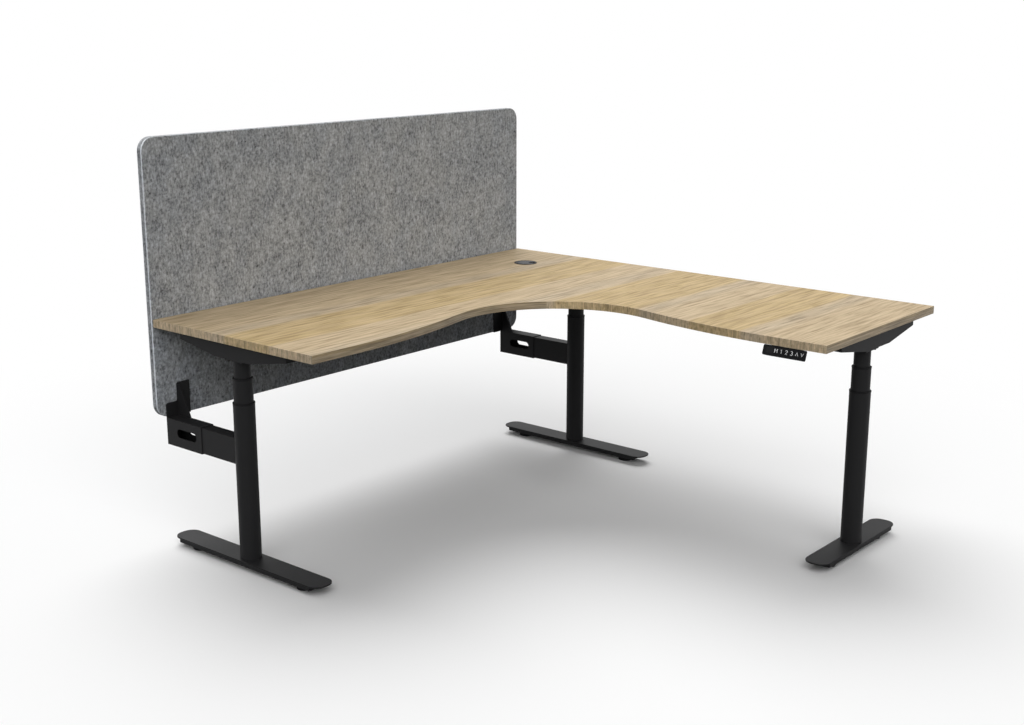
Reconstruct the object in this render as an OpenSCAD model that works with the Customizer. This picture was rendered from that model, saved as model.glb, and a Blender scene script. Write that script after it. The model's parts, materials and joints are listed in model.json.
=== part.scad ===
// Height-adjustable corner workstation: an L-shaped worktop on three telescopic columns,
// with a felt screen that stays at its height on two arms behind the desk.
// Millimetres, +Z up, origin on the floor below the middle of the whole object.
// The screen runs along X at the back (+Y); the return wing runs towards -Y at the right (+X).

/* [Worktop] */
// Width of the worktop along the screen
top_w = 1800; // [1700:50:2100]
// Length of the worktop along the return wing
top_d = 1800; // [1700:50:2100]
// Depth of each wing at its free end
wing_d = 745; // [720:5:800]
// Depth of each wing at its waist, beside the inner corner
waist_d = 670; // [630:5:700]
// Radius of the hollow inner corner
corner_r = 350; // [300:10:400]
// Radius of the long curve between the waist and the free end
ease_r = 1950; // [1500:50:2200]
// Thickness of the worktop
top_t = 25; // [18:1:32]
// Thickness of the edging strip
edging_t = 2; // [1:0.5:3]

/* [Cable grommet] */
// Distance of the grommet's centre from both back edges
grommet_inset = 243; // [220:1:300]
// Radius of the hole through the worktop
grommet_hole_r = 40; // [30:1:45]
// Width of the flange outside the hole
grommet_flange_w = 4; // [3:0.5:6]
// Height of the flange above the worktop
grommet_flange_t = 2; // [1:0.5:3]
// Wall of the grommet's sleeve
grommet_wall = 3; // [2:0.5:4]
// Width of the cable notch in the cap
notch_w = 18; // [12:1:24]
// Length of the cable notch, in from the rim
notch_l = 26; // [16:1:30]
// Direction of the notch, from +X towards +Y
notch_turn = -53; // [-180:1:180]

/* [Legs] */
// Distance of the end columns from the free ends of the worktop
end_inset = 57; // [52:1:90]
// Distance of the corner column from the right-hand back edge
corner_inset = 80; // [75:1:120]
// Distance of the left column from the screen-side back edge
left_setback = 361; // [352:1:380]
// Distance of the corner column from the screen-side back edge
corner_setback = 368; // [352:1:380]
// Distance of the return column from the right-hand back edge
return_setback = 390; // [352:1:400]
// How far the desk stands above its lowest height
raised = 108; // [40:4:300]

/* [Feet] */
// Length of the left and corner feet
foot_l = 698; // [560:1:700]
// Length of the return foot
return_foot_l = 505; // [420:1:600]
// Width of a foot plate
foot_w = 84; // [82:1:100]
// Radius of the foot plate's corners
foot_r = 36; // [10:1:38]
// Thickness of the foot plate
foot_plate_t = 5; // [4:0.5:8]
// Height of the channel under the foot plate
channel_h = 12; // [10:1:20]
// Width of the channel
channel_w = 80; // [60:1:80]
// Sheet thickness of the channel
channel_t = 2.5; // [2:0.5:3]
// How far the channel ends before the foot plate's end
channel_inset = 36; // [30:1:60]
// Distance of a glide from the foot's end
glide_inset = 96; // [80:1:110]
// Radius of a glide's pad
glide_r = 27; // [15:1:30]
// Height of a glide's pad
glide_pad_h = 12; // [7:1:12]
// Height of the channel above the floor
glide_h = 17; // [15:1:20]
// Radius of a glide's threaded stem
stem_r = 4; // [3:0.5:5]

/* [Columns] */
// Length of the fixed outer tube
outer_l = 504; // [490:1:540]
// Outside radius of the outer tube
outer_r = 34; // [33.5:0.5:36]
// Outside radius of the middle tube
middle_r = 30.5; // [30:0.5:30.5]
// Outside radius of the inner tube
inner_r = 26.5; // [26:0.5:26.5]
// Wall of the tubes
tube_t = 2; // [1.6:0.1:2]
// Length of the middle tube
middle_l = 525; // [518:1:525]
// Length of the inner tube
inner_l = 513; // [490:1:520]
// Height of middle tube that shows at the lowest height
middle_low = 19; // [10:1:30]
// Height of inner tube that shows at the lowest height
inner_low = 2; // [2:1:10]
// Height of a guide collar's flange
collar_t = 5; // [3:0.5:6]
// How far a collar's flange stands proud of its tube
collar_lip = 0.8; // [0.4:0.2:1.6]
// Length of a guide collar's skirt inside its tube
skirt_l = 40; // [20:1:60]
// Length of the guide bush at a tube's lower end
bush_l = 25; // [15:1:40]
// Radial clearance of everything that slides or turns
slide_clear = 0.1; // [0.08:0.01:0.15]

/* [Lift drive] */
// Radius of the tube motor
motor_r = 22.4; // [18:0.2:22.4]
// Length of the tube motor
motor_l = 185; // [150:1:187]
// Radius of the spindle
spindle_r = 7; // [5:0.5:8]
// Length of the spindle
spindle_l = 340; // [330:1:340]
// Outside radius of the hollow screw
hollow_r = 12; // [10:0.5:12]
// Length of the hollow screw
hollow_l = 333; // [320:1:336]
// Outside radius of the slotted post that holds the base nut
post_r = 17; // [16:0.5:19]
// Wall of the slotted post
post_t = 4; // [3:0.5:4]
// Height of the post and its nut
post_l = 337; // [325:1:340]
// Height of the nut at the post's top
nut_l = 25; // [15:1:27]
// Width and height of the bar across the middle tube's lower end
bar_w = 5; // [4:0.5:6]

/* [Under the worktop] */
// Length of a side bracket
bracket_l = 500; // [460:10:560]
// Distance of a side bracket's middle from its back edge
bracket_setback = 355; // [345:1:375]
// Width of a side bracket
bracket_w = 70; // [66:1:80]
// Depth of a side bracket at its middle
bracket_h = 54; // [48:1:60]
// Depth of a side bracket at its tips
bracket_tip_h = 25; // [15:1:35]
// Length of the level middle of a side bracket
bracket_flat_l = 160; // [140:5:200]
// Sheet thickness of a side bracket
bracket_t = 3; // [2:0.5:4]
// Length of the head plate on a column
head_l = 84; // [72:1:90]
// Width of the head plate
head_w = 66; // [62:1:66]
// Thickness of the head plate
head_t = 4; // [3:0.5:6]
// Width of a rail
rail_w = 40; // [30:1:42]
// Depth of a rail
rail_h = 24; // [20:1:24]
// Wall of a rail
rail_t = 2; // [1.5:0.5:3]
// Distance between the two rails of a pair, middle to middle
rail_pitch = 90; // [60:1:92]

/* [Control box] */
// Length of the control box
box_l = 240; // [200:5:260]
// Width of the control box
box_w = 104; // [90:1:110]
// Height of the control box
box_h = 34; // [28:1:40]
// Distance of the control box's middle from the screen-side back edge
box_setback = 180; // [120:5:210]

/* [Handset] */
// Length of the handset
handset_l = 146; // [146:1:170]
// Distance of the handset's near end from the return wing's free end
handset_inset = 61; // [40:1:120]
// Thickness of the handset behind its face
handset_t = 12; // [8:1:14]
// Height of the handset at its face
handset_h = 30; // [28:1:34]
// Tilt of the face from upright
handset_tilt = 20; // [15:1:30]
// Radius of the face's corners
handset_r = 5; // [2:0.5:6]
// Depth of the tongue that holds the handset under the worktop
tongue_d = 30; // [24:1:40]
// Spacing of the keys
key_pitch = 17.4; // [17:0.1:17.6]
// Width of a key
key_w = 15.4; // [12:0.1:15.6]
// Height of a key
key_h = 17; // [12:0.5:18]
// How far a key stands out of the face
key_proud = 1.2; // [1:0.1:1.6]

/* [Screen] */
// How far each end of the screen stays inside the worktop's end
screen_inset = 0; // [0:5:20]
// Height of the screen
screen_h = 900; // [700:5:1000]
// Thickness of each felt board
felt_t = 12.5; // [9:0.5:15]
// Radius of the screen's corners
screen_r = 45; // [20:5:80]
// Gap between the worktop's back edge and the felt
screen_gap = 5; // [5:1:12]
// Depth of the groove where the two boards meet
groove = 1; // [0.5:0.5:2]

/* [Screen arms] */
// Distance of the arm's top below the outer tube's top
arm_drop = 108; // [95:1:140]
// Height of the arm's sleeve
sleeve_h = 90; // [80:1:100]
// Width of the arm's sleeve
sleeve_w = 50; // [46:1:56]
// Wall of the sleeve and the beam
arm_t = 2.5; // [2:0.5:3]
// Length of the sleeve
sleeve_l = 172; // [172:1:200]
// How far the beam reaches into the sleeve
beam_grip = 22; // [15:1:22]
// Length of the slot through the sleeve
slot_l = 98; // [60:1:100]
// Height of the slot
slot_h = 29; // [16:1:32]
// Distance of the slot's middle from the sleeve's end
slot_inset = 96; // [60:1:100]
// Height of the slot's middle above the sleeve's middle
slot_rise = 2; // [0:1:8]
// Thickness of the upright's plate and web
upright_t = 5; // [3:0.5:5]
// Height of the upright's low part above the arm
upright_low_h = 47; // [30:1:60]
// Height of the upright's tall part above the arm
upright_tall_h = 109; // [80:1:109]
// Width of the upright's tall part
upright_tall_w = 48; // [35:1:60]
// Radius of the upright's outer corners
upright_r = 7; // [3:0.5:12]
// Reach of the web along the arm
web_foot = 60; // [40:1:80]
// Reach of the web at its top
web_head = 13; // [8:1:20]

/* [Hidden] */
$fn = 96;

STEEL = [0.10, 0.10, 0.11];
PLASTIC = [0.05, 0.05, 0.055];
ZINC = [0.62, 0.63, 0.65];
OAK = [0.76, 0.66, 0.49];
OAK_EDGE = [0.52, 0.43, 0.32];
FELT = [0.50, 0.51, 0.52];
GLASS = [0.02, 0.02, 0.03];

// The screen is as wide as the worktop
screen_w = top_w - 2 * screen_inset;
screen_t = 2 * felt_t;

// The back corner of the worktop, where its two back edges meet
corner_x = top_w / 2;
back_y = (top_d - screen_gap - screen_t) / 2;
left_x = corner_x - top_w;
front_y = back_y - top_d;

// Heights, each built on the one below it
foot_h = glide_h + channel_h + foot_plate_t;
outer_top = foot_h + outer_l;
middle_top = outer_top + collar_t + middle_low + raised / 2;
inner_top = middle_top + collar_t + inner_low + raised / 2;
bracket_z = inner_top + head_t;
under_z = bracket_z + bracket_h;
top_z = under_z + top_t;
motor_z = inner_top - motor_l;
middle_z = middle_top - middle_l;
hollow_z = middle_z + bar_w;

// Bores that follow the tubes
outer_bore_r = outer_r - tube_t;
middle_bore_r = middle_r - tube_t;
inner_bore_r = inner_r - tube_t;
post_bore_r = post_r - post_t;

// Where each leg stands: place, turn about Z, foot length, distance of the bracket's middle behind it
LEFT = 0;
CORNER = 1;
RETURN = 2;
LEGS = [
    [[left_x + end_inset, back_y - left_setback], 0, foot_l, left_setback - bracket_setback],
    [[corner_x - corner_inset, back_y - corner_setback], 0, foot_l, corner_setback - bracket_setback],
    [[corner_x - return_setback, front_y + end_inset], -90, return_foot_l,
        return_setback - bracket_setback]
];
REAR = 1;
FRONT = -1;

// The arms leave the column backwards and meet the upright's plate
arm_z = outer_top - arm_drop;
plate_y = screen_gap - upright_t;
function arm_len(leg) = back_y + plate_y - LEGS[leg][0][1];
screen_z = arm_z + 1;

// Fits that don't move: round a part in its hole, and between two rails that butt
seat = 0.05;
joint_gap = 0.2;

// Moves the children, drawn round the column's axis, to the given leg
module on_leg(leg) {
    translate(LEGS[leg][0]) rotate([0, 0, LEGS[leg][1]]) children();
}

// A round tube with its lower end at z
module tube(r, bore, z, h) {
    translate([0, 0, z]) difference() {
        cylinder(r = r, h = h);
        translate([0, 0, -1]) cylinder(r = bore, h = h + 2);
    }
}

// A rectangle round the origin with round corners
module rounded_rect(w, l, r) {
    square([w - 2 * r, l], center = true);
    square([w, l - 2 * r], center = true);
    for (x = [-1, 1], y = [-1, 1])
        translate([x * (w / 2 - r), y * (l / 2 - r)]) circle(r = r);
}

// A slot along Y with round ends
module slot_shape(l, h) {
    square([l - h, h], center = true);
    for (x = [-1, 1]) translate([x * (l - h) / 2, 0]) circle(r = h / 2);
}

// Foot: a flat plate with round corners
module foot_plate(leg) {
    color(STEEL) translate([0, 0, foot_h - foot_plate_t])
        linear_extrude(foot_plate_t) rounded_rect(foot_w, LEGS[leg][2], foot_r);
}

// Place of a glide along the foot
function glide_y(leg, end) = end * (LEGS[leg][2] / 2 - glide_inset);

// Foot: a folded tray under the plate, open at the top, with two weld nuts
module foot_channel(leg) {
    channel_l = LEGS[leg][2] - 2 * channel_inset;
    inner_w = channel_w - 2 * channel_t;
    inner_l = channel_l - 2 * channel_t;
    color(STEEL) difference() {
        union() {
            translate([0, 0, glide_h]) difference() {
                translate([-channel_w / 2, -channel_l / 2, 0]) cube([channel_w, channel_l, channel_h]);
                translate([-inner_w / 2, -inner_l / 2, channel_t]) cube([inner_w, inner_l, channel_h]);
            }
            for (end = [REAR, FRONT]) translate([0, glide_y(leg, end), glide_h])
                cylinder(r = 2 * stem_r, h = channel_h - 2 * channel_t);
        }
        for (end = [REAR, FRONT]) translate([0, glide_y(leg, end), 0])
            cylinder(r = stem_r + seat, h = foot_h - foot_plate_t - channel_t);
    }
}

// Levelling glide: a pad with a chamfered foot and a threaded stem in the weld nut
module glide(leg, end) {
    chamfer = 1.5;
    tip_gap = 2;
    stem_top = glide_h + channel_h - channel_t - tip_gap;
    color(PLASTIC) translate([0, glide_y(leg, end), 0]) rotate_extrude()
        polygon([
            [0, 0], [glide_r - chamfer, 0], [glide_r, chamfer], [glide_r, glide_pad_h - chamfer],
            [glide_r - chamfer, glide_pad_h], [stem_r, glide_pad_h], [stem_r, stem_top], [0, stem_top]
        ]);
}

// Column: the fixed outer tube, standing on the foot plate
module outer_tube() {
    color(STEEL) tube(outer_r, outer_bore_r, foot_h, outer_l);
}

// Column: a guide collar in a tube's mouth, which the next tube slides in
module collar(tube_r, bore_r, slider_r, z) {
    color(PLASTIC) difference() {
        union() {
            translate([0, 0, z]) cylinder(r = tube_r + collar_lip, h = collar_t);
            translate([0, 0, z - skirt_l]) cylinder(r = bore_r - seat, h = skirt_l + 1);
        }
        translate([0, 0, z - skirt_l - 1]) cylinder(r = slider_r + slide_clear, h = skirt_l + collar_t + 2);
    }
}

// Column: a guide bush round a tube's lower end, which slides in the tube outside it
module bush(tube_r, bore_r, z) {
    color(PLASTIC) tube(bore_r - slide_clear, tube_r + seat, z, bush_l);
}

// Column: the middle tube, with the bar across its lower end that the hollow screw stands on
module middle_tube() {
    color(STEEL) union() {
        tube(middle_r, middle_bore_r, middle_z, middle_l);
        intersection() {
            translate([-middle_r, -bar_w / 2, middle_z]) cube([2 * middle_r, bar_w, bar_w]);
            translate([0, 0, middle_z]) cylinder(r = middle_bore_r + tube_t / 2, h = bar_w);
        }
    }
}

// Column: the middle tube's mouth collar and lower bush
module middle_guides() {
    collar(middle_r, middle_bore_r, inner_r, middle_top);
    bush(middle_r, outer_bore_r, middle_z);
}

// Column: the inner tube, which hangs from the head plate
module inner_tube() {
    color(STEEL) tube(inner_r, inner_bore_r, inner_top - inner_l, inner_l);
}

// Column: the plate welded on the inner tube, with a hole for the motor's lead
module head_plate() {
    lead_hole_r = 6;
    color(STEEL) translate([0, 0, inner_top]) difference() {
        translate([-head_w / 2, -head_l / 2, 0]) cube([head_w, head_l, head_t]);
        translate([0, 0, -1]) cylinder(r = lead_hole_r, h = head_t + 2);
        at_bolts() translate([0, 0, -1]) cylinder(r = bolt_r + seat, h = head_t + 2);
    }
}

// Drive: a post on the foot plate with two long slots for the middle tube's bar, and a nut on top
module nut_post() {
    slot_w = bar_w + 2;
    ring_h = 2;
    color(ZINC) difference() {
        translate([0, 0, foot_h]) cylinder(r = post_r, h = post_l);
        translate([0, 0, foot_h - 1]) cylinder(r = post_bore_r, h = post_l - nut_l + 1);
        translate([0, 0, foot_h - 1]) cylinder(r = hollow_r + slide_clear, h = post_l + 2);
        translate([-post_r - 1, -slot_w / 2, foot_h + ring_h])
            cube([2 * post_r + 2, slot_w, post_l - nut_l - 2 * ring_h]);
    }
}

// Drive: the hollow screw, which turns in the post's nut and on the middle tube's bar
module hollow_screw() {
    color(ZINC) tube(hollow_r, spindle_r + slide_clear, hollow_z, hollow_l);
}

// Drive: the spindle, which the motor turns inside the hollow screw
module spindle() {
    color(ZINC) translate([0, 0, motor_z - spindle_l]) cylinder(r = spindle_r, h = spindle_l);
}

// Drive: a tube motor with its gearbox end and a narrower neck
module lift_motor() {
    neck_h = 12;
    neck_r = 16;
    color(ZINC) translate([0, 0, motor_z]) union() {
        cylinder(r = neck_r, h = neck_h);
        translate([0, 0, neck_h]) cylinder(r = motor_r, h = motor_l - neck_h);
    }
}

// Side outline of a side bracket, drawn in from its web and its tips by inset
module bracket_side(inset) {
    tip = bracket_l / 2 - inset;
    flat = bracket_flat_l / 2;
    polygon([
        [-tip, bracket_h], [-tip, bracket_h - bracket_tip_h + inset], [-flat, inset],
        [flat, inset], [tip, bracket_h - bracket_tip_h + inset], [tip, bracket_h]
    ]);
}

// Where the worktop's screws sit in a side bracket's two tabs
tab_l = 44;
screw_r = 2.1;
screw_head_r = 4.5;
screw_depth = 16;
module at_screws() {
    for (x = [-1, 1], end = [-1, 1])
        translate([x * bracket_w / 4, end * (bracket_l - tab_l) / 2, bracket_h]) children();
}

// Where the bolts sit that hold the head plate to the side bracket
bolt_r = 3;
bolt_head_r = 5.77;
bolt_side = 8;
bolt_end = 12;
module at_bolts() {
    for (x = [-1, 1], y = [-1, 1])
        translate([x * (head_w / 2 - bolt_side), y * (head_l / 2 - bolt_end), 0]) children();
}

// Side bracket: a folded channel, open above, that tapers to both tips. A tab at each tip takes
// the worktop's screws, and a wider hole in the web below lets the screwdriver through
module side_bracket(leg) {
    color(STEEL) difference() {
        translate([0, LEGS[leg][3], bracket_z]) difference() {
            translate([-bracket_w / 2, 0, 0]) rotate([90, 0, 90]) linear_extrude(bracket_w)
                bracket_side(0);
            translate([-bracket_w / 2 + bracket_t, 0, 0]) rotate([90, 0, 90])
                linear_extrude(bracket_w - 2 * bracket_t) difference() {
                    union() {
                        bracket_side(bracket_t);
                        translate([0, bracket_h]) square([bracket_l - 2 * tab_l, 2], center = true);
                    }
                    for (end = [-1, 1]) translate([end * (bracket_l - tab_l) / 2, bracket_h])
                        square([tab_l, 2 * bracket_t], center = true);
                }
            at_screws() {
                translate([0, 0, -bracket_t - 1]) cylinder(r = screw_r + seat, h = bracket_t + 2);
                translate([0, 0, -bracket_h]) cylinder(r = screw_head_r + 1, h = bracket_h - bracket_t - 1);
            }
        }
        translate([0, 0, inner_top]) at_bolts() cylinder(r = bolt_r + seat, h = head_t + bracket_t + 1);
    }
}

// Fastener: the round-headed screws that hold the worktop on one side bracket
module worktop_screws(leg) {
    head_h = 3;
    color(ZINC) translate([0, LEGS[leg][3], bracket_z]) at_screws() {
        translate([0, 0, -bracket_t - head_h]) cylinder(r = screw_head_r, h = head_h);
        translate([0, 0, -bracket_t]) cylinder(r = screw_r, h = bracket_t + screw_depth);
    }
}

// Fastener: the hexagon bolts and nuts that hold one column to its side bracket
module head_bolts() {
    head_h = 4;
    nut_h = 5;
    color(STEEL) translate([0, 0, inner_top]) at_bolts() {
        translate([0, 0, -head_h]) cylinder(r = bolt_head_r, h = head_h, $fn = 6);
        cylinder(r = bolt_r, h = head_t + bracket_t + nut_h + 1);
        translate([0, 0, head_t + bracket_t]) cylinder(r = bolt_head_r, h = nut_h, $fn = 6);
    }
}

// A rail: a rectangular tube from one point to another along X, under the worktop
module rail(l) {
    difference() {
        translate([0, -rail_w / 2, under_z - rail_h]) cube([l, rail_w, rail_h]);
        translate([-1, -rail_w / 2 + rail_t, under_z - rail_h + rail_t])
            cube([l + 2, rail_w - 2 * rail_t, rail_h - 2 * rail_t]);
    }
}

// Rails: a pair between the left and the corner bracket, and a pair from there to the return bracket
module top_rails() {
    main_rails();
    return_rails();
}

module main_rails() {
    from_x = LEGS[LEFT][0][0] + bracket_w / 2;
    to_x = LEGS[CORNER][0][0] - bracket_w / 2;
    color(STEEL) for (side = [-1, 1])
        translate([from_x, back_y - bracket_setback + side * rail_pitch / 2, 0]) rail(to_x - from_x);
}

module return_rails() {
    from_y = LEGS[RETURN][0][1] + bracket_w / 2;
    to_y = back_y - bracket_setback - rail_pitch / 2 - rail_w / 2 - joint_gap;
    color(STEEL) for (side = [-1, 1])
        translate([corner_x - bracket_setback + side * rail_pitch / 2, from_y, 0])
            rotate([0, 0, 90]) rail(to_y - from_y);
}

// The control box behind the main rails, with its five inlets and two ears
module control_box() {
    chamfer = 6;
    ear_l = 14;
    ear_t = 4;
    ear_hole_r = 2.5;
    inlet_w = 13;
    inlet_h = 10;
    inlet_d = 9;
    inlet_pitch = 18;
    inlet_z = 9;
    color(PLASTIC) translate([0, back_y - box_setback, under_z - box_h]) difference() {
        union() {
            translate([-box_l / 2, 0, 0]) rotate([90, 0, 90]) linear_extrude(box_l)
                polygon([
                    [-box_w / 2 + chamfer, 0], [box_w / 2 - chamfer, 0], [box_w / 2, chamfer],
                    [box_w / 2, box_h], [-box_w / 2, box_h], [-box_w / 2, chamfer]
                ]);
            translate([-box_l / 2 - ear_l, -box_w / 4, box_h - ear_t])
                cube([box_l + 2 * ear_l, box_w / 2, ear_t]);
        }
        for (n = [-2:2])
            translate([box_l / 2 - inlet_d, n * inlet_pitch - inlet_w / 2, inlet_z])
                cube([inlet_d + 1, inlet_w, inlet_h]);
        for (side = [-1, 1]) translate([side * (box_l + ear_l) / 2, 0, box_h - ear_t - 1])
            cylinder(r = ear_hole_r, h = ear_t + 2);
    }
}

// Distance from the back edges to the middle of the hollow inner corner
bay_c = waist_d + corner_r;
// Where the long curve meets the straight end of the wing
ease_v = bay_c + sqrt(pow(corner_r + ease_r, 2) - pow(bay_c - wing_d + ease_r, 2));

// The sliver between the waist and the wing's straight edge, in distances from the back edges
module ease_shape(inset) {
    difference() {
        polygon([[bay_c, bay_c], [wing_d - ease_r, ease_v], [wing_d - inset, ease_v]]);
        translate([wing_d - ease_r, ease_v]) circle(r = ease_r - inset, $fn = 360);
    }
}

// Worktop outline, drawn back from its edge by inset: two wings round the hollow bay of the seat
module top_shape(inset) {
    translate([corner_x, back_y]) rotate(180) difference() {
        translate([inset, inset]) square([top_w - 2 * inset, top_d - 2 * inset]);
        translate([wing_d - inset, bay_c]) square([top_w, top_d]);
        translate([bay_c, wing_d - inset]) square([top_w, top_d]);
        translate([bay_c, bay_c]) circle(r = corner_r + inset, $fn = 180);
        ease_shape(inset);
        mirror([1, -1]) ease_shape(inset);
    }
}

// Worktop: the board, with the hole for the grommet
module worktop_board() {
    color(OAK) translate([0, 0, under_z]) difference() {
        linear_extrude(top_t) top_shape(edging_t);
        translate([corner_x - grommet_inset, back_y - grommet_inset, -1])
            cylinder(r = grommet_hole_r, h = top_t + 2);
        for (leg = [LEFT, CORNER, RETURN]) on_leg(leg)
            translate([0, LEGS[leg][3], -bracket_h - 1]) at_screws()
                cylinder(r = screw_r + seat, h = screw_depth + 2);
    }
}

// Worktop: the strip glued round its edge
module worktop_edging() {
    color(OAK_EDGE) translate([0, 0, under_z]) linear_extrude(top_t) difference() {
        top_shape(0);
        top_shape(edging_t);
    }
}

// Radius of the cap, and the depth that it sits in the ring
cap_r = grommet_hole_r - grommet_wall;
cap_t = 3;

// Moves the children to the grommet's middle, on the worktop
module on_grommet() {
    translate([corner_x - grommet_inset, back_y - grommet_inset, top_z]) children();
}

// Grommet: a flanged sleeve in the worktop, with a ledge that carries the cap
module grommet_ring() {
    sleeve_depth = top_t - grommet_wall;
    ledge_w = 4;
    color(PLASTIC) on_grommet() difference() {
        union() {
            cylinder(r = grommet_hole_r + grommet_flange_w, h = grommet_flange_t);
            translate([0, 0, -sleeve_depth]) cylinder(r = grommet_hole_r - seat, h = sleeve_depth + 1);
        }
        translate([0, 0, grommet_flange_t - cap_t]) cylinder(r = cap_r, h = cap_t + 1);
        translate([0, 0, -sleeve_depth - 1]) cylinder(r = cap_r - ledge_w, h = sleeve_depth + 2);
    }
}

// Grommet: the cap, which turns in the ring, with a round-ended cable notch and a shallow rim
module grommet_cap() {
    rim_w = 3;
    rim_groove_w = 1.5;
    rim_groove_t = 0.6;
    color(PLASTIC) on_grommet() translate([0, 0, grommet_flange_t - cap_t]) difference() {
        cylinder(r = cap_r - slide_clear, h = cap_t);
        rotate([0, 0, notch_turn]) translate([cap_r - notch_l + notch_w / 2, 0, -1]) {
            cylinder(r = notch_w / 2, h = cap_t + 2);
            translate([0, -notch_w / 2, 0]) cube([notch_l, notch_w, cap_t + 2]);
        }
        translate([0, 0, cap_t - rim_groove_t]) difference() {
            cylinder(r = cap_r - rim_w, h = rim_groove_t + 1);
            translate([0, 0, -1]) cylinder(r = cap_r - rim_w - rim_groove_w, h = rim_groove_t + 3);
        }
    }
}

// Handset: the upper edge of its face stands a little outside the wing's edge
handset_x = corner_x - wing_d - 2;
handset_y = front_y + handset_inset;
face_l = handset_h / cos(handset_tilt);

// Moves the children to the face: X towards the worktop's back, Y up the face, Z out of it
module on_face() {
    translate([handset_x, handset_y + handset_l, under_z])
        rotate([0, 0, -90]) rotate([90 - handset_tilt, 0, 0]) children();
}

// Place of a key's middle along the face, counted from the display
last_key_inset = 13.6;
function key_x(n) = handset_l - last_key_inset - (5 - n) * key_pitch;
key_y = 1 - face_l / 2;
key_bed = 1.2;

// Handset: the shell behind the face, with round corners and ends that slope in behind a thin rim
module handset_shell() {
    rim_t = 1.5;
    over = 2;
    far = handset_t - rim_t + over;
    on_face() intersection() {
        translate([handset_l / 2, -face_l / 2, -handset_t])
            linear_extrude(handset_t) rounded_rect(handset_l, face_l, handset_r);
        translate([0, over, 0]) rotate([90, 0, 0]) linear_extrude(face_l + 2 * over) polygon([
            [-over, over - rim_t], [handset_l + over, over - rim_t],
            [handset_l - far, -handset_t - over], [far, -handset_t - over]
        ]);
    }
}

// Handset: the tongue that is screwed under the worktop, thicker where it leaves the shell
module handset_tongue() {
    tongue_inset = 25;
    front_x = 1;
    tip_t = 4;
    root_t = 12;
    back_x = handset_t * cos(handset_tilt);
    translate([handset_x, handset_y + handset_l - tongue_inset, under_z]) rotate([90, 0, 0])
        linear_extrude(handset_l - 2 * tongue_inset) polygon([
            [front_x, 0], [front_x, -tip_t], [back_x, -root_t], [tongue_d, -tip_t], [tongue_d, 0]
        ]);
}

// Handset: the body that hangs under the wing, with a bed for the display and the keys
module handset_body() {
    key_play = 0.6;
    color(PLASTIC) difference() {
        union() {
            handset_shell();
            handset_tongue();
        }
        on_face() for (n = [0:5]) translate([key_x(n), key_y, -key_bed])
            linear_extrude(key_bed + 1) square([key_w + key_play, key_h + key_play], center = true);
        on_face() translate([display_x, key_y, -key_bed])
            linear_extrude(key_bed + 1) square([display_w + 2 * seat, key_h + 2 * seat], center = true);
    }
}

display_w = 24;
display_x = key_x(0) - key_w / 2 - 2 - display_w / 2;

// Handset: the display window, level with the face
module handset_display() {
    color(GLASS) on_face() translate([display_x, key_y, -key_bed])
        linear_extrude(key_bed) square([display_w, key_h], center = true);
}

// Handset: one key, which sinks 0.8 mm when pressed and then still clears its bed
module key(n) {
    travel = 0.9;
    key_r = 2;
    color(PLASTIC) on_face() translate([key_x(n), key_y, -key_bed + travel])
        linear_extrude(key_bed - travel + key_proud) rounded_rect(key_w, key_h, key_r);
}

// Arm: the beam welded to the outer tube, which reaches into the sleeve
module arm_beam(leg) {
    w = sleeve_w - 2 * arm_t - 2 * seat;
    h = sleeve_h - 2 * arm_t - 2 * seat;
    reach = arm_len(leg) - sleeve_l + beam_grip;
    color(STEEL) on_leg(leg) difference() {
        translate([-w / 2, 0, arm_z - sleeve_h + arm_t + seat]) cube([w, reach, h]);
        translate([-w / 2 + arm_t, -1, arm_z - sleeve_h + 2 * arm_t + seat])
            cube([w - 2 * arm_t, reach + 2, h - 2 * arm_t]);
        translate([0, 0, arm_z - sleeve_h]) cylinder(r = outer_r + seat, h = sleeve_h);
    }
}

// Arm: the sleeve at the screen's end, with a slot through both sides
module arm_sleeve(leg) {
    from_y = arm_len(leg) - sleeve_l;
    color(STEEL) on_leg(leg) difference() {
        translate([-sleeve_w / 2, from_y, arm_z - sleeve_h]) cube([sleeve_w, sleeve_l, sleeve_h]);
        translate([-sleeve_w / 2 + arm_t, from_y - 1, arm_z - sleeve_h + arm_t])
            cube([sleeve_w - 2 * arm_t, sleeve_l + 2, sleeve_h - 2 * arm_t]);
        translate([-sleeve_w / 2 - 1, arm_len(leg) - slot_inset, arm_z - sleeve_h / 2 + slot_rise])
            rotate([90, 0, 90]) linear_extrude(sleeve_w + 2) slot_shape(slot_l, slot_h);
    }
}

// A rectangle from the origin, with its upper left corner rounded
module corner_rect(w, h, r) {
    square([w, h - r]);
    translate([r, 0]) square([w - r, h]);
    translate([r, h - r]) circle(r = r);
}

// Outline of the upright's plate, from the arm's top: a low part behind the sleeve, a tall part
// beside it, and a small hollow where the step rises
module upright_shape(web_x) {
    r = upright_r;
    translate([-sleeve_w / 2, -sleeve_h]) corner_rect(sleeve_w, sleeve_h + upright_low_h, r);
    translate([web_x, 0]) corner_rect(upright_tall_w, upright_tall_h, r);
    translate([web_x - r, upright_low_h]) difference() {
        square(r);
        translate([0, r]) circle(r = r);
    }
}

// Upright: a stepped plate on the sleeve's end and the felt, and a web that braces it.
// side is 1 where the tall part lies towards +X, and -1 where it is mirrored
module screen_upright(leg, side) {
    web_x = sleeve_w / 2 - upright_t;
    web_h = upright_tall_h - upright_r;
    color(STEEL) on_leg(leg) scale_x(side) translate([0, arm_len(leg), arm_z]) union() {
        translate([0, upright_t, 0]) rotate([90, 0, 0]) linear_extrude(upright_t) upright_shape(web_x);
        translate([web_x, 0, 0]) rotate([90, 0, 90]) linear_extrude(upright_t)
            polygon([[0, 0], [upright_t, 0], [upright_t, web_h], [-web_head, web_h], [-web_foot, 0]]);
    }
}

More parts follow.
